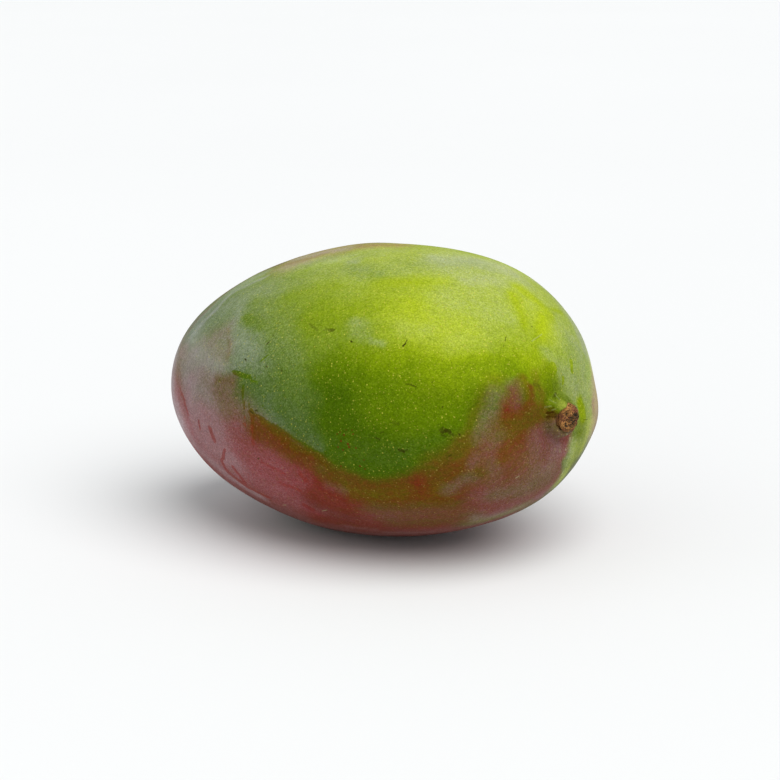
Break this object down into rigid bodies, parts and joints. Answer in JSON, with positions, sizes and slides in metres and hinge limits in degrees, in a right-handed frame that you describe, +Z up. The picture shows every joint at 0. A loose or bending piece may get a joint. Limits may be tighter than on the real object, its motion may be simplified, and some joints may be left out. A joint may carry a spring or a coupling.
{
  "type": "mango",
  "caption": "Whole mango lying on its cheek on a small flat spot, with a shallow stalk basin, a green collar and a dry brown stalk stub.",
  "frame": {"origin": "on the surface the fruit lies on, under the middle of its box", "axes": "+X along the fruit's long axis towards the stalk end, +Z up through its thickness, +Y across its width towards the rounder back"},
  "size_m": [0.1244, 0.0942, 0.0779],
  "materials": {
    "mango_skin": "waxy green skin with a dull red blush and a pale bloom",
    "dry_stalk": "dry, corky, rough"
  },
  "bodies": {
    "root": {"fruit": "mango_skin", "stem_stub": "dry_stalk"}
  },
  "joints": []
}
